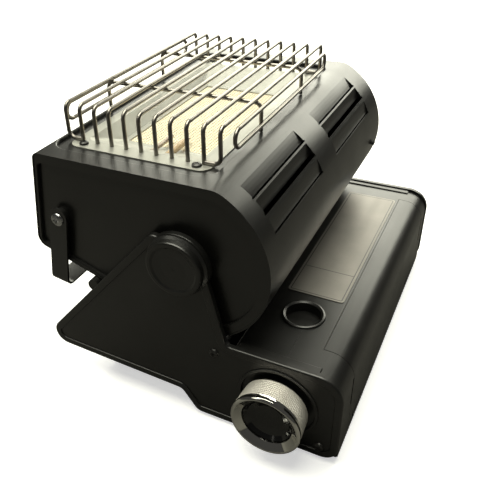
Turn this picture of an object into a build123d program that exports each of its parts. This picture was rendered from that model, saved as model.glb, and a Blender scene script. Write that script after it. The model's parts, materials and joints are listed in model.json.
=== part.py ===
from build123d import *
from math import atan2, cos, degrees, radians, sin, sqrt, tan
import os

# Portable gas heater and stove.  A burner head tilts between two end plates on a base that
# holds a gas cartridge.  Millimetres.  While modelling, the origin is the tilt axis at
# mid-length: X runs along the axis, Y towards the cartridge bay, Z up.  The export moves
# everything so that the origin is the middle of the footprint, on the ground.

# ---------------------------------------------------------------- driving dimensions
# Clearances
RUN = 0.05                  # radial running clearance of a shaft in its bore
TOUCH = 0.05                # gap between sheets that lie on each other
FIT = 0.2                   # gap round a piece that is screwed or clipped in
GAP = 0.3                   # gap between faces that pass each other
PLATE_GAP = 1.9             # head end to the rim of the end plate
KNOB_GAP = 2.4              # end plate to the back of the knob

# Sheet and wire
SHEET = 1.0                 # painted steel sheet
THIN = 0.8                  # polished reflector sheet
WIRE = 3.0                  # guard wire diameter

# Burner head
HEAD_HALF = 136.5           # half length of the wrap
HEAD_TOP = 59.0             # top face above the tilt axis
HEAD_FRONT = -118.2         # front face at the top
HEAD_LEAN = 0.15            # how far the front face leans out per unit of fall
HEAD_R = 65.0               # drum radius about the tilt axis
HEAD_UNDER_DEPTH = 59.6     # underside below the tilt axis, square to itself
HEAD_UNDER_SLOPE = 0.33     # fall of the underside per unit of depth
HEAD_BLEND_R = 20.0         # blend from the top face into the drum
HEAD_BROW_R = 5.3           # corner between the top and the front
HEAD_TOE_R = 9.0            # corner between the front and the underside
HEAD_HEEL_R = 20.0          # corner between the drum and the underside
END_BAND = (8.0, 3.8, 3.0)  # raised band of each head end: top and drum, front, underside
END_DISH = 3.2              # depth of the field inside that band
END_SKIRT = 10.0            # depth of the end panel's skirt in the wrap
UNDER_OPENING = (-98.0, -15.0)      # depth range of the underside's opening
UNDER_LAP = 8.0             # overlap of the bottom cover on the wrap
VENT = (18.0, 3.0)          # vents in the bottom cover
VENT_PITCH = 28.0
VENT_Y = -58.5
BUMPER_X = -113.0           # rubber bumper on the drum
BUMPER_ANGLE = -4.5
BUMPER_R = 2.4
BUMPER_HEIGHT = 3.0

# Opening in the head's top, all centred on one depth
OPEN_MID_Y = -48.5
MOUTH_HALF = (99.5, 49.3)   # inner edge of the reflector flange
MOUTH_R = 5.0
FLANGE = (12.5, 8.2)        # width of the reflector flange
FLANGE_R = 9.0
RECESS_RIM = (10.5, 7.5)    # recess floor left round the flange
RECESS_R = 14.0
RECESS_DEPTH = 3.0
RECESS_SOFT = 1.2           # rounding of the recess's upper edge
MOUTH_GAP = 1.5             # wrap opening round the reflector's funnel
CORNER_SCREW_Y = 46.5       # flange screws from the opening's middle
SCREW_R = 1.9

# Burner
PLAQUE = (142.0, 76.0, 13.0)
PLAQUE_TOP = 44.5
GASKET = 0.6                # gasket thickness round the plaque
FRAME_LAND = 4.0            # how far the retaining frame covers the plaque
FRAME_T = 1.0
PLENUM_DEPTH = 15.0
PLAQUE_LEDGE = 3.0
MIXER_R = 9.0
MIXER_BEND_R = 12.0
MIXER_BEND_X = 24.0
MIXER_LOW = -12.0
STRAP_W = 12.0              # straps that hang the burner box
STRAP_SPREAD = 30.0
STRAP_TAB = 14.0

# Spark and flame sensor, over the near end of the plaque
SPARK_Y = -36.0
SENSOR_Y = -50.0
PROBE_RISE = 5.5            # probes above the plaque
PROBE_X = (62.0, 100.0)
INSULATOR_R = 2.6
SENSOR_R = 1.8
SPARK_WIRE_R = 0.8
BRACKET_EDGE = 6.0          # bracket beyond the probes' axes
BRACKET_DROP = 8.0          # each leg of the bracket

# Louvres in the drum
LOUVRE_LENGTH = 97.0
LOUVRE_SPACE = 33.0         # between the two columns
LOUVRE_SHIFT = 4.5          # the pair's middle from mid-length
LOUVRE_ANGLES = (47.0, 35.2, 22.4)
LOUVRE_DEPTHS = (2.0, 3.6, 1.6)     # how far each slat's lower edge is pressed in
LOUVRE_SLOTS = (1.3, 2.4, 0.8)      # width of the open slot below each slat
LOUVRE_SPAN = 10.5                  # angle from one slot to its slat's upper edge

# Wire guard
GUARD_COUNT = 11
GUARD_PITCH = 12.5
GUARD_TOP = 83.7            # wire centre above the tilt axis
GUARD_BEND = 5.0
GUARD_INSET = 2.0           # wire's legs outside the reflector's mouth
GUARD_HOOK = 12.0           # turned-in foot of the outermost wires
BAR_X = 42.0                # cross bars from mid-length
BAR_DROP = 24.2             # turned-down ends of the cross bars
LOOP_HALF = 93.0
LOOP_HEIGHT = 13.0
LOOP_DROP = 10.7            # loop's middle below the wires
LOOP_STEP = 6.5             # loop outside the outermost wire

# Tilt pivots
BUSH_R = 8.0
BUSH_LENGTH = 6.0
BUSH_FLANGE_R = 13.0
BUSH_FLANGE_T = 1.6
WASHER_R = 11.0
WASHER_T = 1.2
WASHER_PLAY = 0.1
SPIGOT_R = 5.0
SPIGOT_LENGTH = 18.5        # pivot tube's end from the end of the wrap
SWIVEL_R = 9.0
STUD_R = 4.0
NUT_R = 7.0
NUT_T = 3.5
JET_LENGTH = 10.0
JET_R = 4.5
CAP_R = 21.2
CAP_FOOT_R = 23.4           # flared foot of the cap
CAP_HEIGHT = 7.0

# End plates
PLATE_WALL = 1.6
PLATE_DEPTH = 4.6           # depth of the plate with its turned-in rim
PLATE_RIM = 6.0             # width of the raised rim
PLATE_FIELD = 1.0           # depth of the field inside the rim
PLATE_ROUND = 1.5           # rounding of the rim's outer edge
PLATE_SOFT = 0.8            # rounding of the rim's inner edge
BOSS_R = 24.0               # rounded head of the plate about the tilt axis
FOOT = (-138.4, -114.2)     # corner of the long foot, before rounding
FOOT_R = 11.4
PEAK = (-17.0, 23.1)        # top of the slanted front edge
PEAK_R = 7.0
NECK = (18.6, 4.8)          # where the upright's back edge enters the rounded head
STEP_HIGH = (-4.0, -119.3)
STEP_LOW_Y = 9.0
STEP_R = 7.0
PLATE_BACK_R = 13.0
PLATE_TOP = -60.4
PLATE_SHOULDER_R = 19.0
PLATE_CROTCH_Y = 34.8       # where the upright meets the base's top
PLATE_CROTCH_R = 5.0
REST_Y = -77.0              # studs that the level head rests on
REST_R = 5.0
REST_REACH = 9.0            # studs under the head's end
TIE_R = 4.0
TIE_FRONT = (25.0, -70.6)
TIE_BACK_INSET = (13.8, 9.5)        # back tie rod from the plates' back and bottom edges
PLATE_SCREW_R = 2.0

# Base
SHORT_FOOT = 3.1            # feet under the bay
COVER_FRONT = 38.9
COVER_BACK_INSET = 0.8      # cover inside the plates' outline, at the back
COVER_TOP_INSET = 2.2       # and at the top
SHOULDER_R = 18.0
COVER_FRONT_R = 3.0
BORDER = 6.0                # raised border of the cover beside each end plate
BORDER_RISE = 1.1
BORDER_SOFT = 0.9           # rounding along the border's edges
TRAY_FRONT = -92.0
TRAY_STEP = 1.1             # tray's raised front below the plates' outline
TRAY_LIP = 9.0
TRAY_BACK_LIP = 3.5
FOOT_SPREAD = 105.0
SHORT_FOOT_Y = 98.0
TALL_FOOT_Y = -78.0
FOOT_PAD_R = 10.0

# Bay lid
LID_INSET = (20.2, 24.7)    # cover left beyond the lid at the far and near ends
LID_WIDTH = 23.0            # lid's edge on the top from the back wall
LID_GAP = 0.4
LID_SLOT = 3.0              # wider part of the gap beside the lid, on the back wall
LID_SLOT_Z = (-105.0, -79.0)
LID_UNDER = 2.2             # lid's lower edge below the hinge axis
LID_SILL = 3.3              # opening's lower edge below the hinge axis
LEDGE_REACH = (8.0, 4.0)    # ledge under the lid's edge, inwards and outwards
KNUCKLE_R = 2.4
HINGE_RISE = 7.9            # hinge axis above the tray's underside
HINGE_PIN_R = 1.2
HINGE_INSET = 23.5          # near hinge from the lid's near end
HINGE_LENGTH = 24.0
LID_KNUCKLE = 12.0

# Gas cartridge and valve, on one axis
CAN_R = 33.0
CAN_RIM = 0.9               # collar outside the can
CAN_RIM_GAP = 0.5           # collar to the cover's front wall
CAN_WALL = 0.8
CAN_LIFT = 5.3              # can above the tray
CAN_HEADROOM = 1.6          # can to the cover's top
CAN_BACKROOM = 13.5         # can to the plates' back edge
CAN_TIP_ROOM = 4.0          # can's tip to the bulkhead
CAN_LENGTH = 183.0
NOTCH_TURN = 35.0           # collar notch from the top, towards the back
NOTCH_HALF = 4.0
CRADLE_BACK = (163.5, 47.5)         # saddles behind the can's tip
CRADLE_W = 14.0
VALVE_ROOM = 67.5           # bulkhead to the outside of the near plate
REG_R = 21.0
REG_LENGTH = 27.5
REG_NECK_R = 14.0
VALVE_LENGTH = 24.0
VALVE_HALF = 11.0
SEAL_R = 7.0
SEAL_T = 3.0
OUTLET_R = 5.0
OUTLET_RISE = 4.2           # outlet above the valve's axis

# Control knob
KNOB_R = 25.6
KNOB_BACK_R = 24.2
KNOB_LENGTH = 21.0
KNOB_BORE_R = 19.9
KNOB_LIP = 3.2              # width of the knob's lip
KNOB_BEVEL = 4.0            # depth of the polished bevel inside the lip
KNOB_SEAT = 2.0             # black centre's rim below the bevel
KNOB_GRIP = 6.6             # spindle's length inside the knob
SPINDLE_R = 4.0
ESCUTCHEON_R = 29.3
ESCUTCHEON_DEPTH = 3.0

# Label, port and gas pipe
LABEL_INSET = (24.2, 2.5)   # label from the far plate and from the lid
LABEL_WIDTH = 45.0
LABEL_GAP = 8.5             # label to the port's lip
LABEL_T = 0.5
PORT_SHIFT = (9.0, -2.8)    # port's middle from the bulkhead and from the valve's axis
PORT_R = 16.5
PORT_BORE_R = 13.3
PORT_WALL = 1.2
PORT_DEPTH = 7.0
PIPE_R = 2.0
PIPE_WALL = 0.8
PIPE_STAND_OFF = 9.0        # pipe in front of the cover's front wall

# Carrying handle
HANDLE_PIVOT = (-103.0, 8.5)
HANDLE_REACH = 63.6
HANDLE_END = 9.3            # strap's end above its pivot
HANDLE_WIDTH = 15.6
HANDLE_T = 1.8
HANDLE_LEAN = 9.3
HANDLE_CORNER = 8.0
HANDLE_GAP = 0.9            # strap outside the wrap's end
HANDLE_BOSS_R = 7.0
SHANK_R = 3.0

# ---------------------------------------------------------------- derived sizes
CAN_TOP = PLATE_TOP - COVER_TOP_INSET - SHEET - CAN_HEADROOM
BAY_FLOOR = CAN_TOP - 2 * CAN_R - CAN_LIFT
TRAY_FLOOR = BAY_FLOOR - SHEET
CAN_RIM_R = CAN_R + CAN_RIM
VALVE_Y = COVER_FRONT + SHEET + CAN_RIM_GAP + CAN_RIM_R
VALVE_Z = BAY_FLOOR + CAN_LIFT + CAN_R
OUTLET_Z = VALVE_Z + OUTLET_RISE
PLATE_BACK = VALVE_Y + CAN_R + CAN_BACKROOM
TIE_BACK = (PLATE_BACK - TIE_BACK_INSET[0], TRAY_FLOOR + TIE_BACK_INSET[1])
PIVOT_HEIGHT = SHORT_FOOT - TRAY_FLOOR
TRAY_HALF = (MOUTH_HALF[0] + FLANGE[0], MOUTH_HALF[1] + FLANGE[1])
RECESS_HALF = (TRAY_HALF[0] + RECESS_RIM[0], TRAY_HALF[1] + RECESS_RIM[1])
RECESS_FLOOR = HEAD_TOP - RECESS_DEPTH
TRAY_TOP = RECESS_FLOOR + THIN
FRAME_TOP = PLAQUE_TOP + FRAME_T
BOX_HALF = (PLAQUE[0] / 2 + GASKET + SHEET, PLAQUE[1] / 2 + GASKET + SHEET)
BOX_BOTTOM = PLAQUE_TOP - PLAQUE[2] - PLENUM_DEPTH
FIELD_X = HEAD_HALF - END_DISH
UNDER_RUN = sqrt(1 + HEAD_UNDER_SLOPE ** 2)
UNDER_HALF = HEAD_HALF - END_SKIRT - UNDER_LAP - GAP
PROBE_Z = PLAQUE_TOP + PROBE_RISE
SPIGOT_END_X = HEAD_HALF - SPIGOT_LENGTH
MIXER_MOUTH_X = SPIGOT_END_X - JET_LENGTH - 2 * PIPE_R
SWIVEL_X = FIELD_X + BUSH_FLANGE_T + WASHER_PLAY + WASHER_T
GUARD_HALF = MOUTH_HALF[0] + GUARD_INSET
GUARD_REACH = GUARD_PITCH * (GUARD_COUNT - 1) / 2
LOOP_OUT = GUARD_REACH + LOOP_STEP
LOOP_Z = GUARD_TOP - LOOP_DROP
PLATE_EDGE = HEAD_HALF + PLATE_GAP
PLATE_OUT = PLATE_EDGE + PLATE_DEPTH
PLATE_IN = PLATE_OUT - PLATE_WALL
REST_X = HEAD_HALF - REST_REACH
CAP_OUT = PLATE_OUT + CAP_HEIGHT
STRAP_IN = HEAD_HALF + HANDLE_GAP
STRAP_OUT = STRAP_IN + HANDLE_T
COVER_HALF = PLATE_EDGE - FIT
COVER_BACK = PLATE_BACK - COVER_BACK_INSET
COVER_TOP = PLATE_TOP - COVER_TOP_INSET
COVER_TOP_IN = COVER_TOP - SHEET
TRAY_FRONT_FLOOR = STEP_HIGH[1] - TRAY_STEP
LID_X = (LID_INSET[0] - COVER_HALF, COVER_HALF - LID_INSET[1])
LID_HINGE = (COVER_BACK - 0.75 * KNUCKLE_R, TRAY_FLOOR + HINGE_RISE)
LID_SWEEP = sqrt((COVER_BACK - LID_HINGE[0]) ** 2 + LID_UNDER ** 2)
BULKHEAD_BACK = LID_HINGE[0] - LID_SWEEP - 2 * GAP
LID_EDGE_Y = COVER_BACK - LID_WIDTH
HINGE_X = LID_X[1] - HINGE_INSET
BULKHEAD_X = PLATE_OUT - VALVE_ROOM
CAN_TIP_X = BULKHEAD_X - CAN_TIP_ROOM
CRADLE_X = (CAN_TIP_X - CRADLE_BACK[0], CAN_TIP_X - CRADLE_BACK[1])
PORT = (BULKHEAD_X + PORT_SHIFT[0], VALVE_Y + PORT_SHIFT[1])
LABEL_X = (LABEL_INSET[0] - COVER_HALF, PORT[0] - PORT_R - LABEL_GAP)
LABEL_BACK = LID_EDGE_Y - LABEL_INSET[1]
LABEL_Y = (LABEL_BACK - LABEL_WIDTH, LABEL_BACK)
REG_X = (BULKHEAD_X + SHEET, BULKHEAD_X + SHEET + REG_LENGTH)
VALVE_END_X = REG_X[1] + VALVE_LENGTH
SEAL_X = (CAN_TIP_X + 3 * GAP, CAN_TIP_X + 3 * GAP + SEAL_T)
PIPE_X = PLATE_IN - PIPE_R - TOUCH
OUTLET_X = REG_X[1] + VALVE_LENGTH / 2
KNOB_BACK_X = PLATE_OUT + KNOB_GAP
KNOB_FRONT_X = KNOB_BACK_X + KNOB_LENGTH
KNOB_SEAT_X = KNOB_FRONT_X - KNOB_BEVEL - KNOB_SEAT
KNOB_HOLE_R = KNOB_BORE_R - 1.4
SPINDLE_END_X = KNOB_BACK_X + KNOB_GRIP
CENTRE_X = (KNOB_FRONT_X - CAP_OUT) / 2


# ---------------------------------------------------------------- helpers
def corner_arc(corner, back, ahead, r):
    """Start, middle and end of the arc that rounds the corner between two directions."""
    half = radians(back.get_angle(ahead)) / 2
    bisector = (back + ahead).normalized()
    run = r / tan(half)
    return corner + back * run, corner + bisector * (r / sin(half) - r), corner + ahead * run


def rounded(corners):
    """Closed face whose corners are (u, v, radius)."""
    pieces = []
    starts = []
    ends = []
    count = len(corners)
    for i, (u, v, r) in enumerate(corners):
        here = Vector(u, v)
        if r == 0:
            starts.append(here)
            ends.append(here)
            continue
        back = (Vector(*corners[i - 1][:2]) - here).normalized()
        ahead = (Vector(*corners[(i + 1) % count][:2]) - here).normalized()
        start, middle, end = corner_arc(here, back, ahead, r)
        pieces.append(ThreePointArc(start, middle, end))
        starts.append(start)
        ends.append(end)
    for i in range(count):
        following = starts[(i + 1) % count]
        if (following - ends[i]).length > 1e-6:
            pieces.append(Line(ends[i], following))
    return make_face(pieces)


def slab(face, x0, x1):
    """Extrude a face drawn in (Y, Z) between two X positions."""
    return extrude(Plane.YZ.offset(x0) * face, x1 - x0)


def layer(face, z0, z1):
    """Extrude a face drawn in (X, Y) between two heights."""
    return extrude(Pos(0, 0, z0) * face, z1 - z0)


def block(x0, x1, y0, y1, z0, z1):
    return Pos((x0 + x1) / 2, (y0 + y1) / 2, (z0 + z1) / 2) * Box(x1 - x0, y1 - y0, z1 - z0)


def rod_x(r, x0, x1, y=0.0, z=0.0):
    return Pos((x0 + x1) / 2, y, z) * Rot(0, 90, 0) * Cylinder(r, abs(x1 - x0))


def rod_z(r, z0, z1, x=0.0, y=0.0):
    return Pos(x, y, (z0 + z1) / 2) * Cylinder(r, abs(z1 - z0))


def turned_x(profile, y=0.0, z=0.0):
    """Revolve (x, radius) points about an axis along X."""
    return Pos(0, y, z) * revolve(make_face(Polyline(*profile, close=True)), Axis.X, 360)


def turned_z(profile, x=0.0, y=0.0):
    """Revolve (radius, height) points about an axis along Z."""
    face = make_face(Polyline(*profile, close=True))
    return Pos(x, y, 0) * revolve(Plane.XZ * face, Axis.Z, 360)


def frame_rect(half, r, z0, z1, mid_y=OPEN_MID_Y):
    """Rounded rectangle block centred on the burner opening."""
    return layer(Pos(0, mid_y) * RectangleRounded(2 * half[0], 2 * half[1], r), z0, z1)


def inset_half(half, amount):
    return (half[0] - amount, half[1] - amount)


def both_ends(shape):
    """The shape and its mirror image at the other end."""
    return Compound([shape, shape.mirror(Plane.YZ)])


def far(shape):
    return shape.mirror(Plane.YZ)


def edges_at_x(shape, x):
    """The shape's edges that lie in one plane across the X axis."""
    return [edge for edge in shape.edges() if abs(edge.center().X - x) < 1e-4]


def tube_path(points, bend, r_out, r_in=0.0):
    """Round tube or rod along a bent centre line."""
    path = FilletPolyline(*points, radius=bend)
    section = Circle(r_out)
    if r_in > 0:
        section = section - Circle(r_in)
    start = Plane(origin=path @ 0, z_dir=path % 0)
    return sweep(start * section, path=path)


# ---------------------------------------------------------------- head outline
def head_outline(inset=0.0, front_inset=None, under_inset=None):
    """The head's end shape, drawn in (Y, Z): top and drum, front and underside each moved in."""
    if front_inset is None:
        front_inset = inset
        under_inset = inset
    radius = HEAD_R - inset
    top = HEAD_TOP - inset
    depth = HEAD_UNDER_DEPTH - under_inset
    # blend between the top face and the drum
    blend = HEAD_BLEND_R - inset
    blend_y = sqrt((radius - blend) ** 2 - (top - blend) ** 2)
    blend_centre = Vector(blend_y, top - blend)
    on_top = Vector(blend_y, top)
    on_drum = blend_centre * (radius / (radius - blend))
    blend_mid = blend_centre + unit((90 + angle_of(blend_centre)) / 2) * blend
    # heel between the drum and the sloping underside
    down = Vector(-HEAD_UNDER_SLOPE, -1).normalized()
    along = Vector(1, -HEAD_UNDER_SLOPE).normalized()
    heel = HEAD_HEEL_R - inset
    reach = sqrt((radius - heel) ** 2 - (depth - heel) ** 2)
    heel_centre = down * (depth - heel) + along * reach
    heel_drum = heel_centre * (radius / (radius - heel))
    heel_under = heel_centre + down * heel
    heel_mid = heel_centre + (heel_centre.normalized() + down).normalized() * heel
    # leaning front face with its two corners
    fall = Vector(-HEAD_LEAN, -1).normalized()
    front = Vector(HEAD_FRONT, HEAD_TOP) + Vector(1, -HEAD_LEAN).normalized() * front_inset
    brow = front + fall * ((top - front.Y) / fall.Y)
    toe = front + fall * ((depth - down.dot(front)) / down.dot(fall))
    brow_r = max(HEAD_BROW_R - front_inset, 3.5)
    toe_r = max(HEAD_TOE_R - front_inset, 3.5)
    brow_arc = corner_arc(brow, fall, Vector(1, 0), brow_r)
    toe_arc = corner_arc(toe, along, fall * -1, toe_r)
    drum_mid = unit((angle_of(on_drum) + angle_of(heel_drum)) / 2) * radius
    return make_face([
        Line(brow_arc[2], on_top), ThreePointArc(on_top, blend_mid, on_drum),
        ThreePointArc(on_drum, drum_mid, heel_drum), ThreePointArc(heel_drum, heel_mid, heel_under),
        Line(heel_under, toe_arc[0]), ThreePointArc(*toe_arc),
        Line(toe_arc[2], brow_arc[0]), ThreePointArc(*brow_arc),
    ])


def angle_of(vector):
    return degrees(atan2(vector.Y, vector.X))


def unit(angle):
    return Vector(cos(radians(angle)), sin(radians(angle)))


def underside(y):
    """Height of the head's underside at a depth."""
    return -HEAD_UNDER_SLOPE * y - HEAD_UNDER_DEPTH * UNDER_RUN


# ---------------------------------------------------------------- head parts
def louvre_columns():
    """Middle X of each louvre column."""
    step = (LOUVRE_LENGTH + LOUVRE_SPACE) / 2
    return (LOUVRE_SHIFT - step, LOUVRE_SHIFT + step)


def louvre_slat(x, angle, depth, slot):
    """A pressed slat with its two end walls: flush along its upper edge, sunk along its lower one."""
    steps = 4
    fall = LOUVRE_SPAN - degrees(slot / HEAD_R)
    rim = [unit(angle + LOUVRE_SPAN - fall * k / steps) * HEAD_R for k in range(steps + 1)]
    sunk = [p * (1 - depth * k / steps / HEAD_R) for k, p in enumerate(rim)]
    back = [p * (1 - SHEET / HEAD_R) for p in sunk]
    slat = make_face(Polyline(*sunk, *reversed(back), close=True))
    wall = make_face(Polyline(*rim, *reversed(back), close=True))
    x0 = x - LOUVRE_LENGTH / 2
    x1 = x + LOUVRE_LENGTH / 2
    return slab(slat, x0, x1) + slab(wall, x0, x0 + SHEET) + slab(wall, x1 - SHEET, x1)


def louvre_window(x, angle):
    """The hole in the wrap that a slat and its slot take up."""
    low = HEAD_R - 2 * SHEET
    high = HEAD_R + SHEET
    corners = [unit(angle) * low, unit(angle + LOUVRE_SPAN) * low]
    corners += [unit(angle + LOUVRE_SPAN) * high, unit(angle) * high]
    face = make_face(Polyline(*corners, close=True))
    return slab(face, x - LOUVRE_LENGTH / 2, x + LOUVRE_LENGTH / 2)


def on_recess_edge(edge):
    """Whether an edge runs round the recess on the head's top."""
    box = edge.bounding_box()
    level = min(abs(box.min.Z - HEAD_TOP), abs(box.max.Z - HEAD_TOP)) < 1e-3 and box.size.Z < 1e-3
    return level and max(abs(box.min.X), abs(box.max.X)) < RECESS_HALF[0] + 1e-3


def head_wrap():
    shell = slab(head_outline() - head_outline(SHEET), -HEAD_HALF, HEAD_HALF)
    # pressed recess round the burner opening
    shell += frame_rect((RECESS_HALF[0] + SHEET, RECESS_HALF[1] + SHEET), RECESS_R + SHEET,
                        RECESS_FLOOR - SHEET, HEAD_TOP - SHEET / 2)
    shell -= frame_rect(RECESS_HALF, RECESS_R, RECESS_FLOOR, HEAD_TOP + SHEET)
    wrap_mouth = (MOUTH_HALF[0] + MOUTH_GAP, MOUTH_HALF[1] + MOUTH_GAP)
    shell -= frame_rect(wrap_mouth, MOUTH_R + MOUTH_GAP, RECESS_FLOOR - 2 * SHEET, HEAD_TOP)
    shell = fillet([edge for edge in shell.edges() if on_recess_edge(edge)], RECESS_SOFT)
    for x, y in tray_screw_points():
        shell -= rod_z(SCREW_R + FIT, RECESS_FLOOR - 2 * SHEET, HEAD_TOP, x, y)
    for x in louvre_columns():
        for angle, depth, slot in zip(LOUVRE_ANGLES, LOUVRE_DEPTHS, LOUVRE_SLOTS):
            shell -= louvre_window(x, angle)
            shell += louvre_slat(x, angle, depth, slot)
    shell -= block(-UNDER_HALF, UNDER_HALF, *UNDER_OPENING, -HEAD_R, underside(HEAD_FRONT))
    return shell


def bottom_cover():
    """Plate that closes the underside from inside."""
    y0 = UNDER_OPENING[0] - UNDER_LAP
    y1 = UNDER_OPENING[1] + UNDER_LAP
    gap = (SHEET + TOUCH) * UNDER_RUN
    points = [(y0, underside(y0) + gap), (y1, underside(y1) + gap)]
    points += [(y1, underside(y1) + gap + SHEET), (y0, underside(y0) + gap + SHEET)]
    face = make_face(Polyline(*points, close=True))
    x = UNDER_HALF + UNDER_LAP
    cover = slab(face, -x, x)
    for vent in range(-3, 4):
        cover -= Pos(vent * VENT_PITCH, VENT_Y, -HEAD_R / 2) * Box(*VENT, HEAD_R)
    return cover


def end_panel():
    """Pressed end of the head: raised band, dished field, skirt inside the wrap."""
    edge = SHEET + TOUCH
    inner = head_outline(*END_BAND)
    outer = head_outline(*[width - SHEET for width in END_BAND])
    soft = head_outline(*[width - SHEET / 2 for width in END_BAND])
    band = slab(head_outline(edge) - inner, HEAD_HALF - 2 * SHEET, HEAD_HALF - SHEET / 2)
    band -= slab(soft, HEAD_HALF - SHEET, HEAD_HALF)
    wall = slab(outer - inner, FIELD_X - SHEET, HEAD_HALF - SHEET)
    field = slab(outer, FIELD_X - SHEET, FIELD_X)
    skirt = slab(head_outline(edge) - head_outline(edge + SHEET), HEAD_HALF - END_SKIRT, HEAD_HALF - SHEET)
    panel = band + wall + field + skirt
    # boss that carries the handle screw
    panel += rod_x(HANDLE_BOSS_R, FIELD_X - SHEET, STRAP_IN - GAP, *HANDLE_PIVOT)
    panel -= rod_x(SHANK_R, FIELD_X - 2 * SHEET, HEAD_HALF + END_DISH, *HANDLE_PIVOT)
    panel -= rod_x(BUSH_R, FIELD_X - 2 * SHEET, HEAD_HALF)
    return panel


def drum_bumper():
    """Small rubber bumper on the drum near its far end."""
    stud = Pos(0, HEAD_R + BUMPER_HEIGHT / 2, 0) * Rot(90, 0, 0) * Cylinder(BUMPER_R, BUMPER_HEIGHT)
    return Pos(BUMPER_X, 0, 0) * Rot(BUMPER_ANGLE, 0, 0) * stud


def tray_screw_points():
    x = (TRAY_HALF[0] + MOUTH_HALF[0]) / 2
    return [(sx * x, OPEN_MID_Y + sy * CORNER_SCREW_Y) for sx in (-1, 1) for sy in (-1, 1)]


def reflector_tray():
    """Polished flange and funnel between the head's top and the burner."""
    foot_half = inset_half(BOX_HALF, 2 * FIT)
    lip_half = (PLAQUE[0] / 2 - FRAME_LAND + SHEET, PLAQUE[1] / 2 - FRAME_LAND + SHEET)
    low = FRAME_TOP
    flange = frame_rect(TRAY_HALF, FLANGE_R, RECESS_FLOOR, TRAY_TOP)
    ledge = frame_rect(foot_half, MOUTH_R, low, low + THIN)
    outer = funnel(0.0, TRAY_TOP, low)
    inner = funnel(THIN, TRAY_TOP, low)
    tray = flange + outer + ledge
    tray -= inner
    tray -= frame_rect(lip_half, MOUTH_R - 1, low - 1, low + 3)
    for x, y in tray_screw_points():
        tray -= rod_z(SCREW_R, RECESS_FLOOR - 1, TRAY_TOP + 1, x, y)
    for x, y in guard_feet():
        tray -= rod_z(WIRE / 2 + FIT, RECESS_FLOOR - 20, TRAY_TOP + 1, x, y)
    for y, r in ((SPARK_Y, INSULATOR_R), (SENSOR_Y, SENSOR_R)):
        tray -= rod_x(r + FIT, PROBE_X[0], PROBE_X[1] + 3, y, PROBE_Z)
    return tray


def funnel(thickness, top, low):
    """Solid under the flange, from the mouth down to the burner."""
    mouth = inset_half(MOUTH_HALF, thickness)
    foot = inset_half(inset_half(BOX_HALF, 2 * FIT), thickness)
    upper = Pos(0, OPEN_MID_Y, top) * RectangleRounded(2 * mouth[0], 2 * mouth[1], MOUTH_R)
    lower = Pos(0, OPEN_MID_Y, low) * RectangleRounded(2 * foot[0], 2 * foot[1], MOUTH_R)
    return loft([lower, upper])


def burner_box():
    """Plenum under the plaque, with the hole that the mixing tube enters."""
    outer = block(-BOX_HALF[0], BOX_HALF[0], OPEN_MID_Y - BOX_HALF[1], OPEN_MID_Y + BOX_HALF[1],
                  BOX_BOTTOM, PLAQUE_TOP)
    half = inset_half(BOX_HALF, SHEET)
    inner = block(-half[0], half[0], OPEN_MID_Y - half[1], OPEN_MID_Y + half[1],
                  BOX_BOTTOM + SHEET, PLAQUE_TOP + 1)
    ledge_z = PLAQUE_TOP - PLAQUE[2]
    inner_half = inset_half(half, PLAQUE_LEDGE)
    ledge = block(-half[0], half[0], OPEN_MID_Y - half[1], OPEN_MID_Y + half[1], ledge_z - SHEET, ledge_z)
    ledge -= block(-inner_half[0], inner_half[0], OPEN_MID_Y - inner_half[1], OPEN_MID_Y + inner_half[1],
                   ledge_z - 2 * SHEET, ledge_z + SHEET)
    box = outer - inner + ledge
    box -= rod_z(MIXER_R - SHEET, BOX_BOTTOM - 1, BOX_BOTTOM + 2 * SHEET, 0, OPEN_MID_Y)
    return box


def plaque():
    """Honeycomb ceramic slab."""
    half = (PLAQUE[0] / 2, PLAQUE[1] / 2)
    return block(-half[0], half[0], OPEN_MID_Y - half[1], OPEN_MID_Y + half[1],
                 PLAQUE_TOP - PLAQUE[2], PLAQUE_TOP)


def plaque_gasket():
    half = (PLAQUE[0] / 2, PLAQUE[1] / 2)
    outer = (half[0] + GASKET, half[1] + GASKET)
    bottom = PLAQUE_TOP - PLAQUE[2]
    ring = block(-outer[0], outer[0], OPEN_MID_Y - outer[1], OPEN_MID_Y + outer[1], bottom, PLAQUE_TOP)
    return ring - block(-half[0], half[0], OPEN_MID_Y - half[1], OPEN_MID_Y + half[1],
                        bottom - 1, PLAQUE_TOP + 1)


def retaining_frame():
    outer = block(-BOX_HALF[0], BOX_HALF[0], OPEN_MID_Y - BOX_HALF[1], OPEN_MID_Y + BOX_HALF[1],
                  PLAQUE_TOP, FRAME_TOP)
    half = (PLAQUE[0] / 2 - FRAME_LAND, PLAQUE[1] / 2 - FRAME_LAND)
    return outer - block(-half[0], half[0], OPEN_MID_Y - half[1], OPEN_MID_Y + half[1],
                         PLAQUE_TOP - 1, FRAME_TOP + 1)


def mixing_tube():
    """Venturi tube from the jet on the tilt axis into the bottom of the plenum."""
    points = [(MIXER_MOUTH_X, 0, 0), (MIXER_BEND_X, 0, 0), (0, OPEN_MID_Y, MIXER_LOW)]
    points.append((0, OPEN_MID_Y, BOX_BOTTOM))
    tube = tube_path(points, MIXER_BEND_R, MIXER_R, MIXER_R - SHEET)
    mouth = [(MIXER_MOUTH_X - 2, MIXER_R - SHEET), (MIXER_MOUTH_X - 2, MIXER_R),
             (MIXER_MOUTH_X + 6, MIXER_R + 3), (MIXER_MOUTH_X + 6, MIXER_R + 2)]
    return tube + turned_x(mouth)


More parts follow.
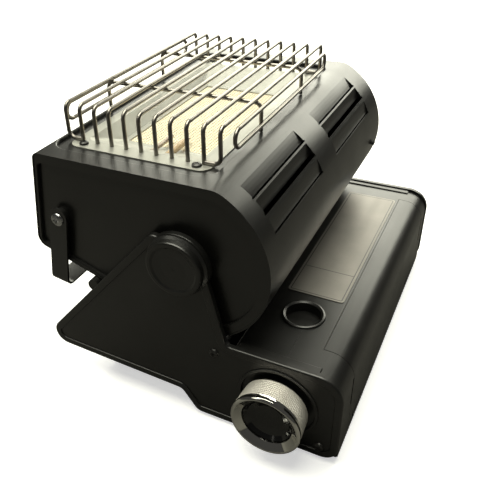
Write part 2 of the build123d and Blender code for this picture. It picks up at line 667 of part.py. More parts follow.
def box_straps():
    """Two straps that hang the burner box from the head's end panels."""
    z = BOX_BOTTOM - SHEET
    straps = []
    half = STRAP_W / 2
    for y in (OPEN_MID_Y - STRAP_SPREAD, OPEN_MID_Y + STRAP_SPREAD):
        strip = block(SHEET - FIELD_X, FIELD_X - SHEET, y - half, y + half, z, z + SHEET)
        for side in (-1, 1):
            x = side * (FIELD_X - SHEET - SHEET / 2)
            strip += block(x - SHEET / 2, x + SHEET / 2, y - half, y + half, z, z + STRAP_TAB)
        straps.append(strip)
    return Compound(straps)


def electrode_insulator():
    x0, x1 = PROBE_X
    body = rod_x(INSULATOR_R, x0, x1, SPARK_Y, PROBE_Z)
    return body - rod_x(SPARK_WIRE_R, x0 - 1, x1 + 1, SPARK_Y, PROBE_Z)


def electrode_wire():
    x0, x1 = PROBE_X
    points = [(x1 + 8, SPARK_Y, PROBE_Z), (x0 - 9, SPARK_Y, PROBE_Z),
              (x0 - 12, SPARK_Y - 3, PLAQUE_TOP + 3)]
    return tube_path(points, 3, SPARK_WIRE_R)


def flame_sensor():
    """Thermocouple over the near end of the plaque."""
    x0, x1 = PROBE_X
    tip = turned_x([(x0 - 8, 0), (x0 - 6, SENSOR_R), (x1 + 8, SENSOR_R), (x1 + 8, 0)], SENSOR_Y, PROBE_Z)
    return tip


def sensor_bracket():
    """Bent clip on the burner box that holds the insulator and the sensor."""
    x = PROBE_X[1] - 4
    y0 = SENSOR_Y - BRACKET_EDGE
    y1 = SPARK_Y + BRACKET_EDGE
    low = PLAQUE_TOP - BRACKET_DROP
    clip = block(x, x + SHEET, y0, y1, low, PROBE_Z + INSULATOR_R + SHEET)
    clip += block(BOX_HALF[0], x, y0, y1, low, low + SHEET)
    clip += block(BOX_HALF[0], BOX_HALF[0] + SHEET, y0, y1, low - BRACKET_DROP, low)
    clip -= rod_x(INSULATOR_R, x - 1, x + 2, SPARK_Y, PROBE_Z)
    return clip - rod_x(SENSOR_R, x - 1, x + 2, SENSOR_Y, PROBE_Z)


# ---------------------------------------------------------------- guard
def guard_rows():
    """Depth of each wire."""
    return [OPEN_MID_Y - GUARD_REACH + GUARD_PITCH * i for i in range(GUARD_COUNT)]


def guard_feet():
    rows = [y for y in guard_rows() if abs(y - OPEN_MID_Y) < TRAY_HALF[1]]
    return [(side * GUARD_HALF, y) for y in rows for side in (-1, 1)]


def guard_wires():
    """Eleven bent wires, each a bridge over the opening."""
    wires = []
    for y in guard_rows():
        inside = abs(y - OPEN_MID_Y) < TRAY_HALF[1]
        foot = RECESS_FLOOR if inside else TRAY_TOP + WIRE / 2
        points = [(-GUARD_HALF, y, GUARD_TOP), (GUARD_HALF, y, GUARD_TOP)]
        points = [(-GUARD_HALF, y, foot)] + points + [(GUARD_HALF, y, foot)]
        if not inside:
            turn = GUARD_HOOK if y < OPEN_MID_Y else -GUARD_HOOK
            points = [(-GUARD_HALF, y + turn, foot)] + points + [(GUARD_HALF, y + turn, foot)]
        wires.append(tube_path(points, GUARD_BEND, WIRE / 2))
    return Compound(wires)


def guard_bars():
    """Two cross bars under the wires, turned down at both ends."""
    bars = []
    z = GUARD_TOP - WIRE
    low = z - BAR_DROP + WIRE
    reach = LOOP_OUT - WIRE
    for x in (-BAR_X, BAR_X):
        points = [(x, OPEN_MID_Y - reach, z), (x, OPEN_MID_Y + reach, z)]
        points = [(x, OPEN_MID_Y - reach, low)] + points + [(x, OPEN_MID_Y + reach, low)]
        bars.append(tube_path(points, GUARD_BEND, WIRE / 2))
    return Compound(bars)


def guard_loops():
    """Long closed loops along both sides."""
    loops = []
    r = LOOP_HEIGHT / 2
    for side in (-1, 1):
        y = OPEN_MID_Y + side * LOOP_OUT
        straight = LOOP_HALF - r
        plane = Plane(origin=(0, y, LOOP_Z), x_dir=(1, 0, 0), z_dir=(0, -1, 0))
        path = plane * Wire(SlotCenterToCenter(2 * straight, 2 * r).face().outer_wire())
        start = Plane(origin=path @ 0, z_dir=path % 0)
        loops.append(sweep(start * Circle(WIRE / 2), path=path))
    return Compound(loops)


def tray_screws():
    screws = []
    for x, y in tray_screw_points():
        screws.append(pan_screw_z(x, y, TRAY_TOP))
    return Compound(screws)


def pan_screw_z(x, y, seat):
    head = [(0, seat), (3.6, seat), (3.3, seat + 1.4), (1.8, seat + 2.0), (0, seat + 2.0)]
    shank = rod_z(SCREW_R - 0.05, seat - 6, seat, x, y)
    return turned_z(head, x, y) + shank - cross_slot_z(x, y, seat + 2.0)


def cross_slot_z(x, y, z):
    along = block(x - 1.6, x + 1.6, y - 0.4, y + 0.4, z - 0.8, z + 1)
    return along + block(x - 0.4, x + 0.4, y - 1.6, y + 1.6, z - 0.8, z + 1)


# ---------------------------------------------------------------- tilt pivots
def bush():
    """Flanged bush fixed in the head's end panel."""
    x0 = FIELD_X - BUSH_LENGTH
    body = rod_x(BUSH_R, x0, FIELD_X) + rod_x(BUSH_FLANGE_R, FIELD_X, FIELD_X + BUSH_FLANGE_T)
    return body - rod_x(SPIGOT_R + RUN, x0 - 1, FIELD_X + BUSH_FLANGE_T + 1)


def friction_washer():
    x0 = SWIVEL_X - WASHER_T
    return rod_x(WASHER_R, x0, SWIVEL_X) - rod_x(SPIGOT_R + FIT, x0 - 1, SWIVEL_X + 1)


def pivot_shaft():
    """Stud through the end plate, disc behind it, and journal in the head."""
    shaft = rod_x(SWIVEL_R, SWIVEL_X, PLATE_IN)
    shaft += rod_x(STUD_R, PLATE_IN, PLATE_OUT + NUT_T)
    return shaft + rod_x(SPIGOT_R, SPIGOT_END_X, SWIVEL_X)


def gas_pivot():
    """The near pivot is hollow: gas enters its disc and leaves through the jet."""
    drill_r = PIPE_R - PIPE_WALL
    shaft = pivot_shaft() - rod_x(drill_r, SPIGOT_END_X - 1, PIPE_X)
    return shaft - rod_z(PIPE_R, -SWIVEL_R - 1, 0, PIPE_X, 0)


def pivot_nuts():
    nut = slab(RegularPolygon(NUT_R, 6), PLATE_OUT, PLATE_OUT + NUT_T)
    return both_ends(nut - rod_x(STUD_R, PLATE_OUT - 1, PLATE_OUT + NUT_T + 1))


def gas_jet():
    """Brass jet on the tilt axis, just outside the mixing tube's mouth."""
    tip = SPIGOT_END_X - JET_LENGTH
    neck = SPIGOT_END_X - 0.6 * JET_LENGTH
    drill_r = PIPE_R - PIPE_WALL
    profile = [(tip, 0.5), (tip, 2.0), (neck, JET_R), (SPIGOT_END_X, JET_R)]
    profile += [(SPIGOT_END_X, drill_r), (neck, 0.5)]
    return turned_x(profile)


def pivot_cap():
    """Dished round cover over each pivot nut."""
    out = CAP_OUT
    base = PLATE_OUT
    dish = out - 1.6
    well_r = NUT_R + 2.5
    profile = [(base, well_r), (base, CAP_FOOT_R), (base + 0.8, CAP_FOOT_R), (base + 2.4, CAP_R + 0.5)]
    profile += [(out - 1.2, CAP_R), (out - 0.3, CAP_R - 0.4), (out, CAP_R - 1.3)]
    profile += [(out, CAP_R - 3.4), (out - 0.9, CAP_R - 5.0), (dish + 0.1, well_r), (dish, 0)]
    profile += [(dish - SHEET, 0), (dish - SHEET, well_r)]
    return turned_x(profile)


# ---------------------------------------------------------------- end plates
def plate_outline():
    body = rounded([
        (*FOOT, FOOT_R), (*STEP_HIGH, STEP_R), (STEP_LOW_Y, TRAY_FLOOR, STEP_R),
        (PLATE_BACK, TRAY_FLOOR, PLATE_BACK_R), (PLATE_BACK, PLATE_TOP, PLATE_SHOULDER_R),
        (PLATE_CROTCH_Y, PLATE_TOP, PLATE_CROTCH_R), (*NECK, 0), (0, 0, 0), (*PEAK, PEAK_R),
    ])
    return body + Circle(BOSS_R)


def end_plate():
    """Moulded side of the base: skin, turned-in rim, rounded bead round a shallow field."""
    outline = plate_outline()
    skin = slab(outline, PLATE_IN, PLATE_OUT)
    skin = fillet(edges_at_x(skin, PLATE_OUT), PLATE_ROUND)
    skin -= slab(offset(outline, -PLATE_RIM), PLATE_OUT - PLATE_FIELD, PLATE_OUT + 1)
    skin = fillet(edges_at_x(skin, PLATE_OUT), PLATE_SOFT)
    plate = skin + slab(outline - offset(outline, -PLATE_WALL), PLATE_EDGE, PLATE_IN)
    plate += rod_x(CAP_FOOT_R + 0.4, PLATE_IN, PLATE_OUT)
    plate -= rod_x(STUD_R, PLATE_IN - 1, PLATE_OUT + 1)
    # stud that the level head rests on
    plate += rod_x(REST_R, REST_X, PLATE_IN, REST_Y, underside(REST_Y) - (REST_R + GAP) * UNDER_RUN)
    for spot in (TIE_FRONT, TIE_BACK):
        plate += rod_x(TIE_R + 1, COVER_HALF, PLATE_IN, *spot)
        plate -= rod_x(PLATE_SCREW_R + FIT, COVER_HALF - 1, PLATE_OUT + 1, *spot)
    return plate


def near_plate():
    plate = end_plate()
    plate -= rod_x(ESCUTCHEON_R + FIT, PLATE_EDGE, PLATE_OUT + 1, VALVE_Y, VALVE_Z)
    return plate


def plate_screws():
    screws = []
    for spot in (TIE_FRONT, TIE_BACK):
        seat = PLATE_OUT - PLATE_FIELD
        profile = [(seat, 0), (seat, 3.8), (seat + 1.2, 3.4), (seat + 1.9, 2.0), (seat + 1.9, 0)]
        head = turned_x(profile, *spot)
        shank = rod_x(PLATE_SCREW_R, seat - 12, seat, *spot)
        slot = block(seat + 1.1, seat + 3, spot[0] - 1.7, spot[0] + 1.7, spot[1] - 0.4, spot[1] + 0.4)
        slot += block(seat + 1.1, seat + 3, spot[0] - 0.4, spot[0] + 0.4, spot[1] - 1.7, spot[1] + 1.7)
        screw = head + shank - slot
        screws += [screw, far(screw)]
    return Compound(screws)


def tie_rod(spot):
    rod = rod_x(TIE_R, -COVER_HALF, COVER_HALF, *spot)
    for side in (-1, 1):
        rod -= rod_x(PLATE_SCREW_R, side * (COVER_HALF - 12), side * (COVER_HALF + 1), *spot)
    return rod


def tie_rods():
    return Compound([tie_rod(TIE_FRONT), tie_rod(TIE_BACK)])


# ---------------------------------------------------------------- base
def cover_outline(inset=0.0):
    low = TRAY_FLOOR - 10
    return rounded([
        (COVER_FRONT + inset, low, 0), (COVER_BACK - inset, low, 0),
        (COVER_BACK - inset, COVER_TOP - inset, SHOULDER_R - inset),
        (COVER_FRONT + inset, COVER_TOP - inset, COVER_FRONT_R - inset),
    ])


def base_cover():
    """Housing over the bay: front wall, top, rounded shoulder and back wall."""
    shell = slab(cover_outline() - cover_outline(SHEET), -COVER_HALF, COVER_HALF)
    x = COVER_HALF + 1
    shell -= block(-x, x, COVER_FRONT - 1, COVER_BACK + 1, TRAY_FLOOR - 20, BAY_FLOOR)
    # raised borders beside the end plates
    for side in (-1, 1):
        x = side * (COVER_HALF - BORDER / 2)
        edge = block(x - BORDER / 2, x + BORDER / 2, COVER_FRONT + COVER_FRONT_R, COVER_BACK - SHOULDER_R,
                     COVER_TOP, COVER_TOP + BORDER_RISE)
        shell += fillet(edge.faces().sort_by(Axis.Z)[-1].edges(), BORDER_SOFT)
    # opening under the lid
    lid_zone = block(LID_X[0] - LID_GAP, LID_X[1] + LID_GAP, LID_EDGE_Y - LID_GAP, COVER_BACK + 5,
                     LID_HINGE[1] - LID_SILL, COVER_TOP + 5)
    shell -= lid_zone
    for x in (LID_X[0] - LID_SLOT, LID_X[1]):
        shell -= block(x, x + LID_SLOT, COVER_BACK - 5, COVER_BACK + 5, *LID_SLOT_Z)
    shell -= rod_z(PORT_BORE_R + PORT_WALL + TOUCH, COVER_TOP - 5, COVER_TOP + 5, *PORT)
    shell -= Pos(OUTLET_X, COVER_FRONT, OUTLET_Z) * Rot(90, 0, 0) * Cylinder(PIPE_R + SHEET, 6)
    # crease between the port and the near border
    crease_y = PORT[1] + 4.6
    shell += block(PORT[0] + PORT_R, COVER_HALF - BORDER, crease_y - 0.6, crease_y + 0.6,
                   COVER_TOP, COVER_TOP + 0.4)
    return shell + hinge_knuckles(on_lid=False)


def lip_strip():
    """Ledge under the lid's long edge."""
    z = COVER_TOP_IN - GAP
    root = LID_EDGE_Y - LEDGE_REACH[0]
    ledge = block(*LID_X, root, LID_EDGE_Y + LEDGE_REACH[1], z - SHEET, z)
    return ledge + block(*LID_X, root, LID_EDGE_Y - 2, z, COVER_TOP_IN)


def hinge_knuckles(on_lid):
    """Rolled knuckles round the hinge pins, those of the lid or those of the base."""
    y, z = LID_HINGE
    rolls = []
    half = HINGE_LENGTH / 2
    inner = LID_KNUCKLE / 2
    for mid in (-HINGE_X, HINGE_X):
        if on_lid:
            spans = [(mid - inner + FIT, mid + inner - FIT)]
        else:
            spans = [(mid - half, mid - inner), (mid + inner, mid + half)]
        for x0, x1 in spans:
            bore = HINGE_PIN_R + RUN if on_lid else HINGE_PIN_R
            roll = rod_x(KNUCKLE_R, x0, x1, y, z)
            if on_lid:
                roll += block(x0, x1, COVER_BACK - SHEET, COVER_BACK, z, z + KNUCKLE_R + SHEET)
            else:
                roll += block(x0, x1, COVER_BACK - SHEET, COVER_BACK, z - LID_SILL, z)
            rolls.append(roll - rod_x(bore, x0 - 1, x1 + 1, y, z))
    joined = rolls[0]
    for roll in rolls[1:]:
        joined = joined + roll
    return joined


def bay_lid():
    """Curved lid: top strip, shoulder and back wall down to the hinge."""
    shell = slab(cover_outline() - cover_outline(SHEET), *LID_X)
    y, z = LID_HINGE
    lid = shell & block(LID_X[0], LID_X[1], LID_EDGE_Y, COVER_BACK + 1, z - LID_UNDER, COVER_TOP + 1)
    for mid in (-HINGE_X, HINGE_X):
        half = HINGE_LENGTH / 2 + FIT
        lid -= block(mid - half, mid + half, y - KNUCKLE_R, COVER_BACK + 1, z - LID_SILL, z + KNUCKLE_R + FIT)
    return lid + hinge_knuckles(on_lid=True)


def hinge_pins():
    half = HINGE_LENGTH / 2
    return Compound([rod_x(HINGE_PIN_R, mid - half, mid + half, *LID_HINGE) for mid in (-HINGE_X, HINGE_X)])


def bottom_tray():
    """Stepped floor sheet between the end plates."""
    z0 = TRAY_FRONT_FLOOR
    z1 = TRAY_FLOOR
    run0 = STEP_HIGH[0] + SHEET
    run1 = STEP_LOW_Y + SHEET
    back = COVER_BACK - SHEET - TOUCH
    points = [(TRAY_FRONT, z0 + TRAY_LIP), (TRAY_FRONT, z0), (run0, z0), (run1, z1)]
    points += [(back, z1), (back, z1 + TRAY_BACK_LIP), (back - SHEET, z1 + TRAY_BACK_LIP)]
    points += [(back - SHEET, z1 + SHEET), (run1 + 0.6, z1 + SHEET), (run0 + 0.6, z0 + SHEET)]
    points += [(TRAY_FRONT + SHEET, z0 + SHEET), (TRAY_FRONT + SHEET, z0 + TRAY_LIP)]
    return slab(make_face(Polyline(*points, close=True)), -COVER_HALF, COVER_HALF)


def foot_pads(y, seat):
    """Pair of rubber feet from a seat height down to the ground."""
    ground = -PIVOT_HEIGHT
    pads = []
    for x in (-FOOT_SPREAD, FOOT_SPREAD):
        pads.append(turned_z([(0, ground), (FOOT_PAD_R - 1, ground), (FOOT_PAD_R, ground + 1),
                              (FOOT_PAD_R + 1, seat), (0, seat)], x, y))
    return Compound(pads)


def label_plate():
    x0, x1 = LABEL_X
    y0, y1 = LABEL_Y
    sheet = Pos((x0 + x1) / 2, (y0 + y1) / 2) * RectangleRounded(x1 - x0, y1 - y0, 1.5)
    return layer(sheet, COVER_TOP, COVER_TOP + LABEL_T)


def port_cup():
    """Round plastic cup set in the base's top, with a raised lip."""
    top = COVER_TOP
    floor = top - PORT_DEPTH
    wall_r = PORT_BORE_R + PORT_WALL
    profile = [(0, floor - PORT_WALL), (wall_r, floor - PORT_WALL), (wall_r, top), (PORT_R, top)]
    profile += [(PORT_R - 0.5, top + 1.4), (PORT_R - 1.6, top + 1.8), (PORT_BORE_R, top + 0.8)]
    profile += [(PORT_BORE_R, floor), (0, floor)]
    return turned_z(profile, *PORT)


# ---------------------------------------------------------------- cartridge and valve
def cartridge():
    """Crimped steel can lying on its side, domed at both ends, hollow inside."""
    tip = CAN_TIP_X
    tail = tip - CAN_LENGTH
    rim = tip - 7
    outer = [(tail + 4, 0), (tail + 1, 20), (tail, CAN_R - 3), (tail + 1.5, CAN_R), (rim - 9, CAN_R)]
    outer += [(rim - 3, CAN_R - 3), (rim, CAN_R - 8), (rim, 12), (rim + 2, 11), (rim + 2, 6)]
    outer += [(tip - 4, 6), (tip - 4, 0)]
    inner_r = CAN_R - CAN_WALL
    inner = [(tail + 5, 0), (tail + 2.3, 20), (tail + 2.3, inner_r), (rim - 9.2, inner_r)]
    inner += [(rim - 3.6, inner_r - 3), (rim - CAN_WALL, inner_r - 8), (rim - CAN_WALL, 0)]
    return turned_x(outer, VALVE_Y, VALVE_Z) - turned_x(inner, VALVE_Y, VALVE_Z)


def can_collar():
    """Guide collar of the cartridge, with its locating notch."""
    rim = CAN_TIP_X - 7
    profile = [(rim - 3, CAN_R - 3), (rim - 3.2, CAN_R - 1.0), (rim - 1.0, CAN_RIM_R)]
    profile += [(rim + 0.2, CAN_RIM_R), (rim + 0.2, CAN_R - 3), (rim, CAN_R - 8)]
    notch = block(rim - 8, rim + 4, -NOTCH_HALF, NOTCH_HALF, CAN_R - 7, CAN_R + 7)
    return turned_x(profile, VALVE_Y, VALVE_Z) - at_notch(notch)


def at_notch(shape):
    """Turn a shape drawn above the X axis to the collar notch's place."""
    return Pos(0, VALVE_Y, VALVE_Z) * Rot(-NOTCH_TURN, 0, 0) * shape


def can_valve():
    stem = rod_x(2.0, CAN_TIP_X - 4, CAN_TIP_X, VALVE_Y, VALVE_Z)
    return stem + rod_x(5.0, CAN_TIP_X - 4, CAN_TIP_X - 2.5, VALVE_Y, VALVE_Z)


def can_cradle():
    """Two saddles under the cartridge."""
    saddles = []
    half = 0.66 * CAN_R
    for x in CRADLE_X:
        x0 = x - CRADLE_W / 2
        x1 = x + CRADLE_W / 2
        saddle = block(x0, x1, VALVE_Y - half, VALVE_Y + half, BAY_FLOOR, VALVE_Z - 0.72 * CAN_R)
        saddles.append(saddle - rod_x(CAN_R + GAP, x0 - 1, x1 + 1, VALVE_Y, VALVE_Z))
    return Compound(saddles)


def bulkhead():
    """Plate that closes the bay and carries the regulator."""
    x0 = BULKHEAD_X
    x1 = BULKHEAD_X + SHEET
    wall = slab(cover_outline(SHEET + TOUCH), x0, x1)
    wall &= block(x0, x1, COVER_FRONT, BULKHEAD_BACK, BAY_FLOOR, COVER_TOP)
    lid_edge = LID_EDGE_Y - LEDGE_REACH[0] - SHEET
    wall -= block(x0 - 1, x1 + 1, lid_edge, COVER_BACK, COVER_TOP_IN - 7 * SHEET, COVER_TOP)
    wall -= rod_z(PORT_BORE_R + PORT_WALL + FIT, COVER_TOP - PORT_DEPTH - 5, COVER_TOP, *PORT)
    wall -= rod_x(REG_NECK_R, x0 - 1, x1 + 1, VALVE_Y, VALVE_Z)
    return wall - rod_x(TIE_R + FIT, x0 - 1, x1 + 1, *TIE_BACK)


def regulator():
    """Die-cast regulator and valve body, with the socket for the cartridge."""
    x0, x1 = REG_X
    half = VALVE_HALF
    body = rod_x(REG_R, x0, x1, VALVE_Y, VALVE_Z)
    body += rod_x(REG_NECK_R, SEAL_X[0] - GAP, x0, VALVE_Y, VALVE_Z)
    body += block(x1, VALVE_END_X, VALVE_Y - half, VALVE_Y + half, VALVE_Z - half, VALVE_Z + half)
    body -= rod_x(SPINDLE_R + RUN, x1 + SPINDLE_R, VALVE_END_X + 1, VALVE_Y, VALVE_Z)
    body -= rod_x(SEAL_R, SEAL_X[0] - 1, SEAL_X[1], VALVE_Y, VALVE_Z)
    outlet = Pos(OUTLET_X, VALVE_Y - half, OUTLET_Z) * Rot(90, 0, 0) * Pos(0, 0, OUTLET_R)
    body += outlet * Cylinder(OUTLET_R, 2 * OUTLET_R)
    return body - outlet * Cylinder(PIPE_R, 4 * OUTLET_R)


def regulator_seal():
    """Soft ring that the cartridge's valve presses on."""
    ring = rod_x(SEAL_R, *SEAL_X, VALVE_Y, VALVE_Z)
    return ring - rod_x(PIPE_R + FIT, SEAL_X[0] - 1, SEAL_X[1] + 1, VALVE_Y, VALVE_Z)


def locating_tab():
    """Tab on the bulkhead that enters the cartridge collar's notch."""
    half = NOTCH_HALF - 1
    return at_notch(block(CAN_TIP_X - 8, BULKHEAD_X, -half, half, CAN_R - 3, CAN_R - 1.5))


def piezo_igniter():
    """Spark unit on the valve, struck by the spindle's cam."""
    z = VALVE_Z + VALVE_HALF
    height = 12.0
    case = block(REG_X[1] + 2, VALVE_END_X, VALVE_Y - 8, VALVE_Y + 8, z, z + height)
    return case + rod_x(3, VALVE_END_X, VALVE_END_X + 4, VALVE_Y, z + height / 2)


def gas_pipe():
    """Copper pipe from the regulator, out of the front wall and up inside the near plate."""
    y_out = COVER_FRONT - PIPE_STAND_OFF
    start = VALVE_Y - VALVE_HALF - SHEET
    points = [(OUTLET_X, start, OUTLET_Z), (OUTLET_X, y_out, OUTLET_Z), (PIPE_X, y_out, OUTLET_Z)]
    points += [(PIPE_X, 8, -62), (PIPE_X, 0, -40), (PIPE_X, 0, -PIPE_R)]
    return tube_path(points, 3 * PIPE_R, PIPE_R, PIPE_R - PIPE_WALL)


# ---------------------------------------------------------------- knob
def escutcheon():
    """Shallow round cup in the near plate behind the knob."""
    face = PLATE_OUT - PLATE_FIELD
    back = face - ESCUTCHEON_DEPTH
    floor = back + PORT_WALL
    hub_r = SPINDLE_R + 2
    r = ESCUTCHEON_R
    profile = [(back, hub_r), (back, r), (face, r), (face, r + 1.2), (face + 0.9, r + 0.9)]
    profile += [(face + 0.9, r - 1.2), (floor, r - 1.8), (floor, hub_r)]
    return turned_x(profile, VALVE_Y, VALVE_Z)


def knob_spindle():
    return rod_x(SPINDLE_R, REG_X[1] + 1.5 * SPINDLE_R, SPINDLE_END_X, VALVE_Y, VALVE_Z)


def knob_ring():
    """Chromed outer ring: knurled barrel, polished lip, bevel inside."""
    back = KNOB_BACK_X
    front = KNOB_FRONT_X
    seat = KNOB_SEAT_X
    bevel = front - KNOB_BEVEL
    profile = [(back, KNOB_BORE_R), (back, KNOB_BACK_R), (back + 1.2, KNOB_BACK_R + 0.4)]
    profile += [(front - 3.6, KNOB_R - 0.5), (front - 2.6, KNOB_R), (front - 0.8, KNOB_R - 0.2)]
    profile += [(front, KNOB_R - 1.2), (front, KNOB_R - KNOB_LIP + 0.8), (front - 0.7, KNOB_R - KNOB_LIP)]
    profile += [(bevel, KNOB_HOLE_R), (seat, KNOB_HOLE_R), (seat, KNOB_BORE_R)]
    return turned_x(profile, VALVE_Y, VALVE_Z)


def knob_core():
    """Black dished middle of the knob, with the hub for the spindle."""
    front = KNOB_SEAT_X
    back = KNOB_BACK_X + 1
    r = KNOB_HOLE_R
    profile = [(back, SPINDLE_R), (back, KNOB_BORE_R), (front, KNOB_BORE_R), (front, r)]
    profile += [(front + 1, r - 0.8), (front - 1.5, r - 3.2), (front - 3.4, r - 8), (front - 4, 0)]
    profile += [(SPINDLE_END_X, 0), (SPINDLE_END_X, SPINDLE_R)]
    return turned_x(profile, VALVE_Y, VALVE_Z)


# ---------------------------------------------------------------- handle
def bail_handle():
    """Bent strap, hung on the head's end panels; drawn hanging straight down, then leaned."""
    end = HANDLE_END - HANDLE_WIDTH / 2
    outer = rounded([(-STRAP_OUT, end, 0), (-STRAP_OUT, -HANDLE_REACH, HANDLE_CORNER),
                     (STRAP_OUT, -HANDLE_REACH, HANDLE_CORNER), (STRAP_OUT, end, 0)])
    low = -HANDLE_REACH + HANDLE_T
    inner = rounded([(-STRAP_IN, end + 1, 0), (-STRAP_IN, low, HANDLE_CORNER - HANDLE_T),
                     (STRAP_IN, low, HANDLE_CORNER - HANDLE_T), (STRAP_IN, end + 1, 0)])
    strap = extrude(Plane.XZ * (outer - inner), HANDLE_WIDTH / 2, both=True)
    for side in (-1, 1):
        strap += rod_x(HANDLE_WIDTH / 2, side * STRAP_IN, side * STRAP_OUT, 0, end)
        strap -= rod_x(SHANK_R + RUN, side * (STRAP_IN - 1), side * (STRAP_OUT + 1))
    return Pos(0, *HANDLE_PIVOT) * Rot(-HANDLE_LEAN, 0, 0) * strap


def handle_screws():
    """Shoulder screws with cross recesses."""
    y, z = HANDLE_PIVOT
    seat = STRAP_OUT + FIT
    head = turned_x([(seat, 0), (seat, 5.4), (seat + 1.0, 5.0), (seat + 2.0, 3.0), (seat + 2.3, 0)], y, z)
    shank = rod_x(SHANK_R, FIELD_X - 2 * SHEET - 3, seat, y, z)
    slot = block(seat + 1.0, seat + 4, y - 2.4, y + 2.4, z - 0.6, z + 0.6)
    slot += block(seat + 1.0, seat + 4, y - 0.6, y + 0.6, z - 2.4, z + 2.4)
    return both_ends(head + shank - slot)


# ---------------------------------------------------------------- nodes
NODES = {
    "head_wrap": head_wrap,
    "head_bottom_cover": bottom_cover,
    "head_end_near": end_panel,
    "head_end_far": lambda: far(end_panel()),
    "drum_bumper": drum_bumper,
    "reflector_tray": reflector_tray,
    "burner_box": burner_box,
    "ceramic_plaque": plaque,
    "plaque_gasket": plaque_gasket,
    "plaque_frame": retaining_frame,
    "mixing_tube": mixing_tube,
    "burner_straps": box_straps,
    "spark_insulator": electrode_insulator,
    "spark_wire": electrode_wire,
    "flame_sensor": flame_sensor,
    "sensor_bracket": sensor_bracket,
    "guard_wires": guard_wires,
    "guard_cross_bars": guard_bars,
    "guard_side_loops": guard_loops,
    "reflector_screws": tray_screws,
    "pivot_bush_near": bush,
    "pivot_bush_far": lambda: far(bush()),
    "handle_screws": handle_screws,
    "carry_handle": bail_handle,
    "end_plate_near": near_plate,
    "end_plate_far": lambda: far(end_plate()),
    "gas_pivot": gas_pivot,
    "far_pivot": lambda: far(pivot_shaft()),
    "pivot_nuts": pivot_nuts,
    "friction_washers": lambda: both_ends(friction_washer()),
    "pivot_cap_near": pivot_cap,
    "pivot_cap_far": lambda: far(pivot_cap()),
    "gas_jet": gas_jet,
    "plate_screws": plate_screws,
    "tie_rods": tie_rods,
    "base_cover": base_cover,
    "lid_ledge": lip_strip,
    "bottom_tray": bottom_tray,
    "short_feet": lambda: foot_pads(SHORT_FOOT_Y, TRAY_FLOOR),
    "tall_feet": lambda: foot_pads(TALL_FOOT_Y, TRAY_FRONT_FLOOR),
    "label_plate": label_plate,
    "port_cup": port_cup,
    "bay_lid": bay_lid,
    "lid_hinge_pins": hinge_pins,
    "bay_bulkhead": bulkhead,
    "regulator": regulator,
    "regulator_seal": regulator_seal,
    "locating_tab": locating_tab,
    "piezo_igniter": piezo_igniter,
    "gas_pipe": gas_pipe,
    "cartridge_cradle": can_cradle,
    "cartridge_can": cartridge,
    "cartridge_collar": can_collar,
    "cartridge_valve": can_valve,
    "knob_escutcheon": escutcheon,
    "knob_spindle": knob_spindle,
    "knob_ring": knob_ring,
    "knob_core": knob_core,
}


def main():
    os.makedirs("parts", exist_ok=True)
    head = head_outline().bounding_box()
    side = plate_outline().bounding_box()
    middle = (min(head.min.X, side.min.X) + side.max.X) / 2
    to_ground = Pos(-CENTRE_X, -middle, PIVOT_HEIGHT)
    for name, build in NODES.items():
        export_step(to_ground * build(), f"parts/{name}.step")


main()
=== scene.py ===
import bpy
import bmesh
import json
from math import radians
from mathutils import Matrix, Vector


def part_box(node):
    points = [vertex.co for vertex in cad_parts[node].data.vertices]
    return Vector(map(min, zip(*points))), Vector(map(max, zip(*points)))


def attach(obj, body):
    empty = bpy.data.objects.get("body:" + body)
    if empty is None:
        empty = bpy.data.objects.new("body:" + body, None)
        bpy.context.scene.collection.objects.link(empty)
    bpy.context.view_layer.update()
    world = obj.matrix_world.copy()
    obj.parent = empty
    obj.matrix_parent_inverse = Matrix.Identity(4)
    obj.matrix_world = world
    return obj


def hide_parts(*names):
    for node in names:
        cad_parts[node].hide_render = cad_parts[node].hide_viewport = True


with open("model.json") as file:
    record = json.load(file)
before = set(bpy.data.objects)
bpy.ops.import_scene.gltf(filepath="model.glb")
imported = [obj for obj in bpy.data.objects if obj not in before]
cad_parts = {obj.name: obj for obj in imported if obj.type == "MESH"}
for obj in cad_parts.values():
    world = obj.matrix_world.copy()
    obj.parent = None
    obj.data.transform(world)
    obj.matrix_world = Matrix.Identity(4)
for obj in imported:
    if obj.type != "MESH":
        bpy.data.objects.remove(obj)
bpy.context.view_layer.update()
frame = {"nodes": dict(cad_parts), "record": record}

MM = 0.001                  # places and sizes are in metres
NODES = frame["nodes"]
SLOT_OF = {part["node"]: part["material_slot"] for part in frame["record"]["subparts"]}


# ---------------------------------------------------------------- camera
IMAGE_WIDTH = 500
IMAGE_HEIGHT = 481
FOCAL_LENGTH_PX = 616.2
AXIS_PX = (194.7, 236.3)    # where the lens axis meets the picture
CAMERA_PLACE = Vector((0.42290, 0.18250, 0.38020))
CAMERA_RIGHT = Vector((-0.4687, 0.8823, -0.0438))
CAMERA_UP = Vector((-0.4947, -0.2211, 0.8405))
SENSOR_WIDTH = 36
NEAR_CLIP = 10 * MM


def add_camera():
    camera = bpy.data.cameras.new("camera")
    camera.sensor_width = SENSOR_WIDTH
    camera.lens = FOCAL_LENGTH_PX / IMAGE_WIDTH * SENSOR_WIDTH
    camera.shift_x = (IMAGE_WIDTH / 2 - AXIS_PX[0]) / IMAGE_WIDTH
    camera.shift_y = (AXIS_PX[1] - IMAGE_HEIGHT / 2) / IMAGE_WIDTH
    camera.clip_start = NEAR_CLIP
    holder = bpy.data.objects.new("camera", camera)
    right = CAMERA_RIGHT.normalized()
    back = right.cross(CAMERA_UP).normalized()
    up = back.cross(right)
    turn = Matrix((right, up, back)).transposed().to_4x4()
    holder.matrix_world = Matrix.Translation(CAMERA_PLACE) @ turn
    bpy.context.scene.collection.objects.link(holder)
    bpy.context.scene.camera = holder


